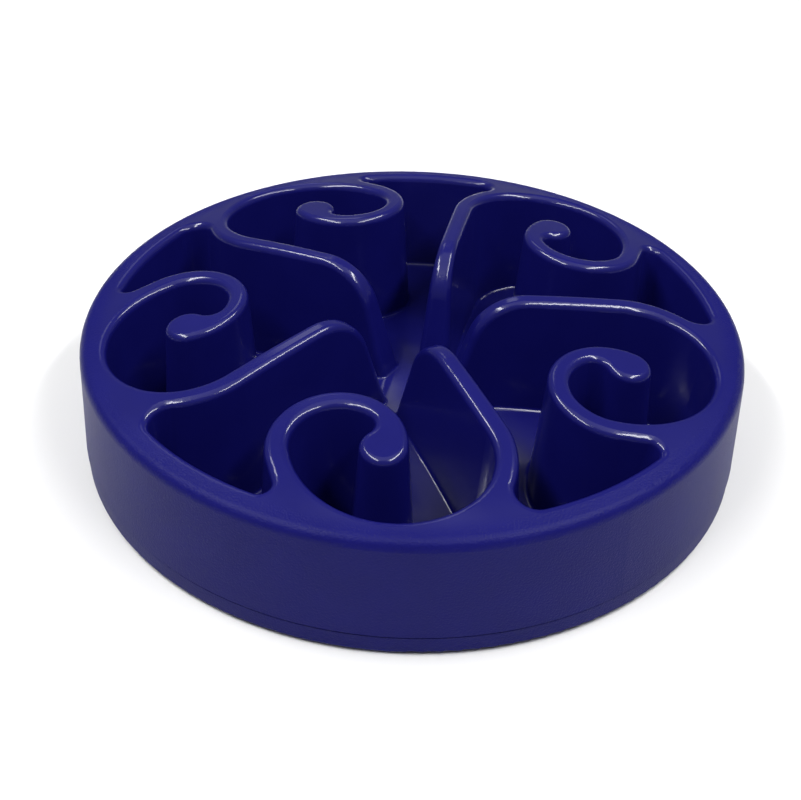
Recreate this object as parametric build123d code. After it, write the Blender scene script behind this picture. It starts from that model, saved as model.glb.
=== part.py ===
from build123d import *
import math
import os

os.makedirs("parts", exist_ok=True)

# all lengths in millimetres, all turns in degrees, table at zero height

# outside of the bowl
rim_radius = 101.5
rim_height = 38.7
rim_edge_radius = 3.4
skirt_flare = 1.85

# sphere that the rim and the tops of the maze walls lie on
dome_radius = 458.0

# food channel at the height of the rim: distance of its outer edges from the rim, its corners,
# and the straight runs into them, the curl's at the table
rim_width = 8.3
bag_rim_width = 7.9
curl_corner_radius = 2.9
wall_corner_radius = 5.5
curl_root_run = 1.03
wall_root_run = 0.9

# maze walls, their widths at the height of the rim
wall_width = 7.2
knob_radius = 7.0
notch_radius = 3.6
wall_end_gap = 10.0
wall_end_slope = 16.5
wall_end_radius = 17.0
wall_stub = 2.2
end_cut_clear = 0.6
end_cut_margin = 0.4

# plan of one maze unit, the same on every fifth of the bowl, its arcs in shares of the pocket radius
unit_count = 5
bag_angle = -92.9
bag_left_share = 0.3183
bag_left_turn = 76.3
curl_inner_share = 0.1349
knob_bearing = -6.85
bag_right_share = 0.3011
bag_right_turn = 42.75
bag_corner_share = 0.2236
wall_heading = 115.65
wall_bend_share = 0.3069
wall_bend_turn = 42.5

# direction of a radius that stays clear of every wall
seam_angle = -55.0

# moulding details
draft = 4.0
wall_top_share = 0.3
floor_cove_share = 0.85
floor_thickness = 1.8
maze_thickness = 1.6
skirt_thickness = 2.2
top_thickness = 2.2
end_core_gap = 6.0

# low crown in the middle of the floor, running out into the flat part
crown_rise = 8.2
crown_radius = 250.0
crown_blend_radius = 60.0

# base cover
foot_stand = 0.8
cover_thickness = 1.6
cover_clear = 0.4
seam_height = 7.0
seam_gap = 0.5
band_inset = 0.25
band_edge_radius = 1.0
tongue_thickness = 1.6
tongue_rise = 1.5
lap_gap = 0.1

# push-in feet
foot_inset = 21.5
foot_radius = 7.0
foot_recess_depth = 0.7
foot_edge_radius = 0.3
stem_radius = 2.6
stem_drop = 0.1
foot_gap = 0.1

# cutters reach this far past the faces they cut, and points this near count as touching
overrun = 5.0
match_gap = 0.01

# turns and shares that keep their value
full_turn = 360
half_turn = 180
quarter_turn = 90
half_share = 0.5
match_share = 0.0001
probe_shares = (0.1, 0.5, 0.9)

# sizes that follow from the ones above
unit_turn = full_turn / unit_count
pocket_radius = rim_radius - rim_width
bag_reach = rim_radius - bag_rim_width
curl_inner_radius = pocket_radius * curl_inner_share
curl_outer_radius = curl_inner_radius + wall_width
wall_top_radius = wall_width * wall_top_share
cover_top = foot_stand + cover_thickness
bowl_bottom = cover_top + cover_clear
floor_top = bowl_bottom + floor_thickness
crown_turn = math.degrees(math.acos(1 - crown_rise / (crown_radius + crown_blend_radius)))
crown_top = floor_top + crown_rise
cap_edge = crown_radius * math.sin(math.radians(crown_turn))
flat_edge = cap_edge + crown_blend_radius * math.sin(math.radians(crown_turn))
dome_centre = rim_height - math.sqrt(dome_radius ** 2 - rim_radius ** 2)
dome_top = dome_centre + dome_radius
plan_height = dome_top + overrun
draft_slope = math.tan(math.radians(draft))
floor_shrink = (rim_height - floor_top) * draft_slope
tightest_radius = min(notch_radius - floor_shrink, wall_corner_radius - floor_shrink, curl_corner_radius)
floor_cove_radius = tightest_radius * floor_cove_share


def direction(angle):
    return Vector(math.cos(math.radians(angle)), math.sin(math.radians(angle)))


def polar(radius, angle):
    return direction(angle) * radius


def skirt_radius_at(height):
    return rim_radius + skirt_flare * (rim_height - height) / rim_height


def meet_circle(point, heading, radius):
    # where a line from the point along the heading leaves a circle about the bowl axis
    along = direction(heading)
    ahead = point.dot(along)
    travel = math.sqrt(ahead ** 2 - point.dot(point) + radius ** 2) - ahead
    return point + along * travel


def arc_run(start, heading, moves):
    # tangent arcs one after the other, each move a radius and a turn
    arcs = []
    for radius, turn in moves:
        step = JernArc(start, direction(heading), radius, turn)
        arcs.append(step)
        start = step @ 1
        heading = heading + turn
    return arcs, start, heading


def bearing(vector):
    return math.degrees(math.atan2(vector.Y, vector.X))


def rim_corner(point, heading, reach, radius, side):
    # line from the point that rounds off into a circle about the bowl axis, to its left or right side
    inset = polar(radius, heading + side * quarter_turn)
    centre = meet_circle(point + inset, heading, reach - radius)
    touch = centre - inset
    turn = (side * (bearing(centre) - heading) + quarter_turn) % full_turn
    return [Line(point, touch), JernArc(touch, direction(heading), radius, side * turn)], bearing(centre)


def curl_middle():
    # point that the inner and the outer arc of the curl turn about
    left_radius = pocket_radius * bag_left_share
    left_middle = polar(bag_reach - left_radius, bag_angle)
    return left_middle + polar(left_radius - curl_inner_radius, bag_angle - bag_left_turn)


def root_heading():
    # heading at which the curl leaves for the rim, so that its straight run into the corner keeps its length
    middle = curl_middle()
    table_grow = -rim_height * draft_slope
    corner_reach = pocket_radius + table_grow - curl_corner_radius
    apart = curl_outer_radius - table_grow + curl_corner_radius
    squares = middle.length ** 2 + corner_reach ** 2 - apart ** 2 - curl_root_run ** 2
    opening = math.degrees(math.acos(squares * half_share / (middle.length * corner_reach)))
    corner = polar(corner_reach, bearing(middle) - opening)
    return bearing(corner - middle) - math.degrees(math.atan2(curl_root_run, apart)) + quarter_turn


def curl_turns():
    # turns of the inner arc, the notch, the knob and the outer arc, each touching the next
    to_notch = curl_inner_radius - notch_radius
    to_knob = curl_outer_radius - knob_radius
    apart = notch_radius + knob_radius
    spread = (to_notch ** 2 + to_knob ** 2 - apart ** 2) * half_share / (to_notch * to_knob)
    notch_bearing = knob_bearing + math.degrees(math.acos(spread))
    across = bearing(polar(to_knob, knob_bearing) - polar(to_notch, notch_bearing))
    inner = bag_angle - bag_left_turn - notch_bearing
    notch = notch_bearing - across
    knob = knob_bearing - across - half_turn
    outer = root_heading() - quarter_turn - knob_bearing
    return inner % full_turn, notch % full_turn, knob % full_turn, outer % full_turn


def curl_side(grow, corner_radius):
    # from the foot of the round pocket up the curl, round its knob and back to the rim
    inner, notch, knob, outer = curl_turns()
    moves = [
        (pocket_radius * bag_left_share + grow, -bag_left_turn),
        (curl_inner_radius + grow, -inner),
        (notch_radius + grow, -notch),
        (knob_radius - grow, knob),
        (curl_outer_radius - grow, outer),
    ]
    start = polar(bag_reach + grow, bag_angle)
    arcs, end, heading = arc_run(start, bag_angle - quarter_turn, moves)
    corner, rim_bearing = rim_corner(end, heading, pocket_radius + grow, corner_radius, -1)
    return arcs + corner, rim_bearing


def wall_start(grow):
    start = polar(bag_reach + grow, bag_angle)
    heading = bag_angle + quarter_turn
    moves = [
        (pocket_radius * bag_right_share + grow, bag_right_turn),
        (pocket_radius * bag_corner_share + grow, wall_heading - heading - bag_right_turn),
    ]
    arcs, end, heading = arc_run(start, heading, moves)
    return arcs, end


def wall_line():
    # middle of the long wall at its outer end, and how far it runs towards the bowl axis
    arcs, near = wall_start(0)
    middle = near + polar(wall_width * half_share, wall_heading - quarter_turn)
    reach = -middle.dot(direction(wall_heading)) - wall_end_gap
    return middle, reach


def wall_side(grow):
    # from the foot of the round pocket along both sides of the long wall and back to the rim
    arcs, near = wall_start(grow)
    across = polar(wall_width - grow - grow, wall_heading - quarter_turn)
    middle, length = wall_line()
    tip = near + polar(length + wall_stub, wall_heading)
    reach = pocket_radius + grow
    radius = wall_corner_radius + grow
    moves = [(pocket_radius * wall_bend_share - grow, -wall_bend_turn)]
    bends, end, heading = arc_run(near + across, wall_heading + half_turn, moves)
    early = end + polar(wall_root_run, heading) + polar(radius, heading + quarter_turn)
    bend = near + across + meet_circle(early, wall_heading + half_turn, reach - radius) - early
    bends, end, heading = arc_run(bend, wall_heading + half_turn, moves)
    lines = [Line(near, tip), Line(tip, tip + across), Line(tip + across, bend)]
    corner, rim_bearing = rim_corner(end, heading, reach, radius, 1)
    return arcs + lines + bends + corner, rim_bearing


def channel_plan(spread, height):
    # one closed outline of the whole food channel at a height, grown into the walls by the given spread
    grow = spread + (height - rim_height) * draft_slope
    curl_edges, last = curl_side(grow, curl_corner_radius + spread)
    wall_edges, first = wall_side(grow)
    reach = pocket_radius + grow
    last = last + unit_turn
    middle = (first + last) * half_share
    rim_arc = ThreePointArc(polar(reach, first), polar(reach, middle), polar(reach, last))
    edges = []
    for index in range(unit_count):
        for edge in curl_edges + wall_edges + [rim_arc]:
            edges.append(edge.rotate(Axis.Z, unit_turn * index))
    return Wire(edges).moved(Location((0, 0, height)))


def channel_cutter(spread):
    # drafted body between the plan above the dome and the narrower plan at the table
    return Solid.make_loft([channel_plan(spread, 0), channel_plan(spread, plan_height)], ruled=True)


def end_cutters(back):
    # sloped wedges that end the long walls near the centre
    middle, reach = wall_line()
    along = direction(wall_heading)
    aside = direction(wall_heading - quarter_turn)
    plane = Plane(origin=(middle.X, middle.Y, 0), x_dir=(along.X, along.Y, 0), z_dir=(aside.X, aside.Y, 0))
    lean = math.tan(math.radians(wall_end_slope))
    low = reach - back + crown_top * lean
    high = reach - back - (plan_height - crown_top) * lean
    far = reach + wall_stub + end_cut_margin
    half_width = wall_width * half_share + rim_height * draft_slope + end_cut_clear
    outline = Polyline((low, 0), (far, 0), (far, plan_height), (high, plan_height), close=True)
    wedge = extrude(plane * make_face(outline.edges()), amount=half_width, both=True)
    return [wedge.rotate(Axis.Z, unit_turn * index) for index in range(unit_count)]


def domed_body(bottom, outer_low, outer_high, top_drop, edge_radius):
    # body of revolution under the dome, lowered by the given drop
    crown = dome_radius - top_drop
    rim_level = dome_centre + math.sqrt(crown ** 2 - outer_high ** 2)
    middle = outer_high * half_share
    middle_level = dome_centre + math.sqrt(crown ** 2 - middle ** 2)
    corner = (outer_high, rim_level)
    peak = (0, dome_centre + crown)
    sides = Polyline(peak, (0, bottom), (outer_low, bottom), corner)
    dome = ThreePointArc(corner, (middle, middle_level), peak)
    face = make_face(sides.edges() + dome.edges())
    corner_vertex = face.vertices().sort_by_distance(corner)[0]
    face = fillet(corner_vertex, edge_radius)
    return revolve(Plane.XZ * face, axis=Axis.Z).rotate(Axis.Z, seam_angle)


def end_faces(solid):
    lean = math.sin(math.radians(wall_end_slope))
    flats = solid.faces().filter_by(GeomType.PLANE)
    return [face for face in flats if math.isclose(face.normal_at().Z, lean, rel_tol=match_share)]


def rim_arcs(solid):
    # outer top edge of every pocket between two units; the rounding runs on along the walls
    near = pocket_radius + curl_corner_radius
    high = rim_height - wall_top_radius
    edges = []
    for edge in solid.edges():
        spot = edge @ half_share
        if spot.Z > high and pocket_radius - curl_corner_radius < reach_of(spot) < near:
            edges.append(edge)
    return edges


def crown_block(low, drop, outer):
    # body of revolution under the crowned floor, lowered by the given drop
    cap = JernArc((0, crown_top - drop), (1, 0), crown_radius, -crown_turn)
    run_out = JernArc(cap @ 1, cap % 1, crown_blend_radius, crown_turn)
    edge = run_out @ 1
    sides = Polyline(edge, (outer, edge.Y), (outer, low), (0, low), cap @ 0)
    face = make_face(cap.edges() + run_out.edges() + sides.edges())
    return revolve(Plane.XZ * face, axis=Axis.Z).rotate(Axis.Z, seam_angle)


def reach_of(spot):
    return math.hypot(spot.X, spot.Y)


def floor_level(reach):
    # height of the crowned floor at a distance from the bowl axis
    if reach < cap_edge:
        return crown_top - crown_radius + math.sqrt(crown_radius ** 2 - reach ** 2)
    if reach < flat_edge:
        return floor_top + crown_blend_radius - math.sqrt(crown_blend_radius ** 2 - (flat_edge - reach) ** 2)
    return floor_top


def on_ring(spots, reach):
    return all(abs(reach_of(spot) - reach) < match_gap for spot in spots)


def on_seam(spots):
    return all(abs(spot.cross(direction(seam_angle)).Z) < match_gap for spot in spots)


def floor_edges(solid):
    # edges where the walls meet the floor, without the rings and the seam that lie inside the floor
    edges = []
    for edge in solid.edges():
        spots = [edge @ share for share in probe_shares]
        if any(abs(spot.Z - floor_level(reach_of(spot))) > match_gap for spot in spots):
            continue
        if not on_ring(spots, cap_edge) and not on_ring(spots, flat_edge) and not on_seam(spots):
            edges.append(edge)
    return edges


def make_maze_bowl():
    low = bowl_bottom - overrun
    body = domed_body(low, skirt_radius_at(low), rim_radius, 0, rim_edge_radius)
    body = body - channel_cutter(0)
    for cutter in end_cutters(0):
        body = body - cutter
    noses = [face.edges().sort_by(Axis.Z)[-1] for face in end_faces(body)]
    body = fillet(noses, wall_end_radius)
    body = fillet(rim_arcs(body), wall_top_radius)
    body = body + crown_block(low, 0, pocket_radius + maze_thickness)
    body = fillet(floor_edges(body), floor_cove_radius)
    body = body - bowl_core()
    body = body - crown_block(low - overrun, floor_thickness, skirt_radius_at(0) + overrun)
    return body - skirt_trim()


def bowl_core():
    # hollow under the rim and inside the walls, open below
    low = bowl_bottom - overrun - overrun
    inner_low = skirt_radius_at(low) - skirt_thickness
    inner_high = skirt_radius_at(rim_height) - skirt_thickness
    core = domed_body(low, inner_low, inner_high, top_thickness, rim_edge_radius - skirt_thickness)
    core = core - channel_cutter(maze_thickness)
    for cutter in end_cutters(end_core_gap):
        core = core - cutter
    return core.solids().sort_by(SortBy.VOLUME)[-1]


def skirt_trim():
    # room for the upstanding band of the base cover
    depth = seam_height + overrun
    outer = skirt_radius_at(0) + overrun
    hollow = skirt_radius_at(seam_height) - skirt_thickness
    inner = (bag_reach + maze_thickness + hollow) * half_share
    ring = Cylinder(outer, depth, align=(Align.CENTER, Align.CENTER, Align.MAX))
    inside = Cylinder(inner, depth, align=(Align.CENTER, Align.CENTER, Align.MAX))
    return Pos(0, 0, seam_height) * (ring - inside)


def foot_spots():
    spots = []
    for index in range(unit_count):
        spots.append(polar(rim_radius - foot_inset, unit_turn * index + quarter_turn))
    return spots


def make_base_cover():
    ledge = seam_height - seam_gap
    band = skirt_radius_at(seam_height) - band_inset
    tongue_outer = skirt_radius_at(seam_height + tongue_rise) - skirt_thickness - lap_gap
    tongue_inner = tongue_outer - tongue_thickness
    tongue_top = seam_height + tongue_rise
    outline = Polyline(
        (0, foot_stand),
        (band, foot_stand),
        (band, ledge),
        (tongue_outer, ledge),
        (tongue_outer, tongue_top),
        (tongue_inner, tongue_top),
        (tongue_inner, cover_top),
        (0, cover_top),
        close=True,
    )
    face = make_face(outline.edges())
    corner = face.vertices().sort_by_distance((band, foot_stand))[0]
    face = fillet(corner, band_edge_radius)
    cover = revolve(Plane.XZ * face, axis=Axis.Z)
    recess_top = foot_stand + foot_recess_depth
    for spot in foot_spots():
        recess = Pos(spot.X, spot.Y, recess_top) * Cylinder(
            foot_radius + foot_gap,
            foot_recess_depth + overrun,
            align=(Align.CENTER, Align.CENTER, Align.MAX),
        )
        hole = Pos(spot.X, spot.Y, recess_top) * Cylinder(stem_radius + foot_gap, overrun)
        cover = cover - recess - hole
    return cover


def make_foot(spot):
    pad_top = foot_stand + foot_recess_depth
    stem_length = cover_top - stem_drop - pad_top
    pad = Pos(spot.X, spot.Y, 0) * Cylinder(
        foot_radius,
        pad_top,
        align=(Align.CENTER, Align.CENTER, Align.MIN),
    )
    pad = fillet(pad.edges().sort_by(Axis.Z)[0], foot_edge_radius)
    stem = Pos(spot.X, spot.Y, pad_top) * Cylinder(
        stem_radius,
        stem_length,
        align=(Align.CENTER, Align.CENTER, Align.MIN),
    )
    return pad + stem


nodes = {
    "maze_bowl": make_maze_bowl(),
    "base_cover": make_base_cover(),
}
for index, spot in enumerate(foot_spots()):
    nodes["rubber_foot_" + str(index + 1)] = make_foot(spot)
for name, solid in nodes.items():
    export_step(solid, "parts/" + name + ".step")
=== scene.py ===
import math

import bpy
from mathutils import Matrix, Vector

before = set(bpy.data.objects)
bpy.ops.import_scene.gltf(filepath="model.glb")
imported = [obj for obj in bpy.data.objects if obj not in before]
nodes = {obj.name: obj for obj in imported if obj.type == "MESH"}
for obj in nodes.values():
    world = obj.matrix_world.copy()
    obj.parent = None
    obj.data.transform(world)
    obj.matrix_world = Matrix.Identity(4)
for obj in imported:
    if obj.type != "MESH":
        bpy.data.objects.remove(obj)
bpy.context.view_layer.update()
scene = bpy.context.scene

# all lengths in metres, all turns in degrees, colours as on the screen from 0 to 255

# moulded plastic, glossy inside the bowl and matt on its rim and skirt;
# the plain blue shows only where a viewer drops the nodes
plain_blue = (16, 16, 90)
dark_blue = (14, 14, 85)
light_blue = (18, 18, 96)
cloud_scale = 70
cloud_detail = 3
plastic_specular = 0.1
gloss_roughness = 0.3
matt_roughness = 0.42
gloss_coat = 0.7
matt_coat = 0.0
coat_roughness = 0.13
coat_ior = 1.5

# radii where the gloss ends and where the surface is fully matt; below zero it is matt all over
bowl_gloss_radii = (0.0925, 0.0985)
cover_gloss_radii = (-0.002, -0.001)

# rubber of the feet
rubber_grey = (26, 26, 28)
rubber_roughness = 0.8

# fine grain of the matt plastic and the rubber
grain_height = 0.0002
grain_detail = 2
plastic_grain_scale = 1800
plastic_grain_strength = 0.8
rubber_grain_scale = 2500
rubber_grain_strength = 0.35

# pale floor
floor_size = 12
floor_shade = 0.81
floor_roughness = 0.9
floor_specular = 0.0

# camera, its place, turn, tilt and roll fitted to the photograph
image_width_px = 801
focal_px = 1340.5
sensor_width_mm = 36
camera_place = Vector((-0.00355, -0.34757, 0.26841))
yaw, pitch, roll = (math.radians(turn) for turn in (0.068, 36.843, 1.733))

# studio light: the surroundings, then for each lamp its azimuth from the camera's side to the right,
# its elevation and distance, the point it looks at, its width and height, and its power in watts
sky_colour = (1, 1, 1, 1)
sky_strength = 0.15
middle = (0, 0, 0)
above_floor = (0, 0, 0.03)
lamps = {
    "left_panel": ((-76, 61, 0.9), above_floor, (0.95, 0.09), 7.2),
    "right_panel": ((76, 61, 0.9), above_floor, (0.95, 0.09), 7.2),
    "ceiling": ((0, 86, 2.0), middle, (2.4, 2.0), 10),
    "back_panel": ((-170, 42, 1.0), middle, (0.22, 0.3), 0.26),
}


# the shader's linear colour for a colour on the screen
def linear(colour):
    shares = [value / 255 for value in colour]
    return tuple(s / 12.92 if s < 0.04045 else ((s + 0.055) / 1.055) ** 2.4 for s in shares)


def opaque(colour):
    return tuple(colour) + (1.0,)


def new_material(name, colour, roughness):
    material = bpy.data.materials.new(name)
    material.use_nodes = True
    shader = material.node_tree.nodes["Principled BSDF"]
    shader.inputs["Base Color"].default_value = opaque(colour)
    shader.inputs["Roughness"].default_value = roughness
    return material, shader


def add_node(material, kind, **settings):
    node = material.node_tree.nodes.new(kind)
    for key, value in settings.items():
        setattr(node, key, value)
    return node


def link(material, source, target):
    material.node_tree.links.new(source, target)


def add_noise(material, place, scale, detail):
    noise = add_node(material, "ShaderNodeTexNoise")
    noise.inputs["Scale"].default_value = scale
    noise.inputs["Detail"].default_value = detail
    link(material, place.outputs["Object"], noise.inputs["Vector"])
    return noise.outputs["Fac"]


# a value that goes from low to high as the mask goes from 0 to 1
def add_range(material, mask, low, high):
    span = add_node(material, "ShaderNodeMapRange")
    link(material, mask, span.inputs["Value"])
    span.inputs["To Min"].default_value = low
    span.inputs["To Max"].default_value = high
    return span.outputs["Result"]


# a value that rises from 0 to 1 between two distances from the bowl's axis
def add_radius_mask(material, place, inner, outer):
    split = add_node(material, "ShaderNodeSeparateXYZ")
    link(material, place.outputs["Object"], split.inputs["Vector"])
    flat = add_node(material, "ShaderNodeCombineXYZ")
    link(material, split.outputs["X"], flat.inputs["X"])
    link(material, split.outputs["Y"], flat.inputs["Y"])
    length = add_node(material, "ShaderNodeVectorMath", operation="LENGTH")
    link(material, flat.outputs["Vector"], length.inputs[0])
    ramp = add_node(material, "ShaderNodeMapRange", interpolation_type="SMOOTHSTEP")
    link(material, length.outputs["Value"], ramp.inputs["Value"])
    ramp.inputs["From Min"].default_value = inner
    ramp.inputs["From Max"].default_value = outer
    return ramp.outputs["Result"]


def add_grain(material, shader, place, scale):
    bump = add_node(material, "ShaderNodeBump")
    bump.inputs["Distance"].default_value = grain_height
    link(material, add_noise(material, place, scale, grain_detail), bump.inputs["Height"])
    link(material, bump.outputs["Normal"], shader.inputs["Normal"])
    return bump.inputs["Strength"]


def moulded_plastic(name, gloss_radii):
    material, shader = new_material(name, linear(plain_blue), matt_roughness)
    shader.inputs["Specular IOR Level"].default_value = plastic_specular
    shader.inputs["Coat Roughness"].default_value = coat_roughness
    shader.inputs["Coat IOR"].default_value = coat_ior
    place = add_node(material, "ShaderNodeTexCoord")
    mask = add_radius_mask(material, place, *gloss_radii)

    roughness = add_range(material, mask, gloss_roughness, matt_roughness)
    link(material, roughness, shader.inputs["Roughness"])
    coat = add_range(material, mask, gloss_coat, matt_coat)
    link(material, coat, shader.inputs["Coat Weight"])

    # slight clouds of lighter and darker blue
    tint = add_node(material, "ShaderNodeMix", data_type="RGBA")
    tint.inputs["A"].default_value = opaque(linear(dark_blue))
    tint.inputs["B"].default_value = opaque(linear(light_blue))
    link(material, add_noise(material, place, cloud_scale, cloud_detail), tint.inputs["Factor"])
    link(material, tint.outputs["Result"], shader.inputs["Base Color"])

    # grain on the matt part alone
    grain_strength = add_node(material, "ShaderNodeMath", operation="MULTIPLY")
    link(material, mask, grain_strength.inputs[0])
    grain_strength.inputs[1].default_value = plastic_grain_strength
    strength = add_grain(material, shader, place, plastic_grain_scale)
    link(material, grain_strength.outputs["Value"], strength)
    return material


def grained_rubber(name):
    material, shader = new_material(name, linear(rubber_grey), rubber_roughness)
    place = add_node(material, "ShaderNodeTexCoord")
    add_grain(material, shader, place, rubber_grain_scale).default_value = rubber_grain_strength
    return material


def assign(node, material):
    node.data.materials.clear()
    node.data.materials.append(material)


assign(nodes["maze_bowl"], moulded_plastic("bowl_blue", bowl_gloss_radii))
assign(nodes["base_cover"], moulded_plastic("cover_blue", cover_gloss_radii))
rubber = grained_rubber("foot_rubber")
for name, node in nodes.items():
    if name.startswith("rubber_foot"):
        assign(node, rubber)

# floor
bpy.ops.mesh.primitive_plane_add(size=floor_size)
floor = bpy.context.object
floor.name = "floor"
floor_material, floor_shader = new_material("floor_white", (floor_shade,) * 3, floor_roughness)
floor_shader.inputs["Specular IOR Level"].default_value = floor_specular
floor.data.materials.append(floor_material)

# camera
ahead = Vector((
    math.sin(yaw) * math.cos(pitch),
    math.cos(yaw) * math.cos(pitch),
    -math.sin(pitch),
))
right = Vector((math.cos(yaw), -math.sin(yaw), 0))
up = right.cross(ahead)
rolled_right = right * math.cos(roll) + up * math.sin(roll)
rolled_up = up * math.cos(roll) - right * math.sin(roll)
camera_data = bpy.data.cameras.new("camera")
camera_data.sensor_width = sensor_width_mm
camera_data.lens = focal_px * sensor_width_mm / image_width_px
camera = bpy.data.objects.new("camera", camera_data)
axes = Matrix((rolled_right, rolled_up, -ahead)).transposed().to_4x4()
camera.matrix_world = Matrix.Translation(camera_place) @ axes
scene.collection.objects.link(camera)
scene.camera = camera

# plain colour response, so that the deep blue stays as saturated as in the photograph
scene.view_settings.view_transform = "Standard"

# light
world = bpy.data.worlds.new("studio")
scene.world = world
world.use_nodes = True
background = world.node_tree.nodes["Background"]
background.inputs["Color"].default_value = sky_colour
background.inputs["Strength"].default_value = sky_strength


def lamp_place(azimuth, elevation, distance):
    turn, rise = math.radians(azimuth), math.radians(elevation)
    across = math.cos(rise) * distance
    return Vector((math.sin(turn) * across, -math.cos(turn) * across, math.sin(rise) * distance))


def soft_box(name, place, target, size, power):
    data = bpy.data.lights.new(name, "AREA")
    data.shape = "RECTANGLE"
    data.size, data.size_y = size
    data.energy = power
    lamp = bpy.data.objects.new(name, data)
    lamp.location = place
    lamp.rotation_euler = (Vector(target) - place).to_track_quat("-Z", "Y").to_euler()
    scene.collection.objects.link(lamp)


for name, (direction, target, size, power) in lamps.items():
    soft_box(name, lamp_place(*direction), target, size, power)
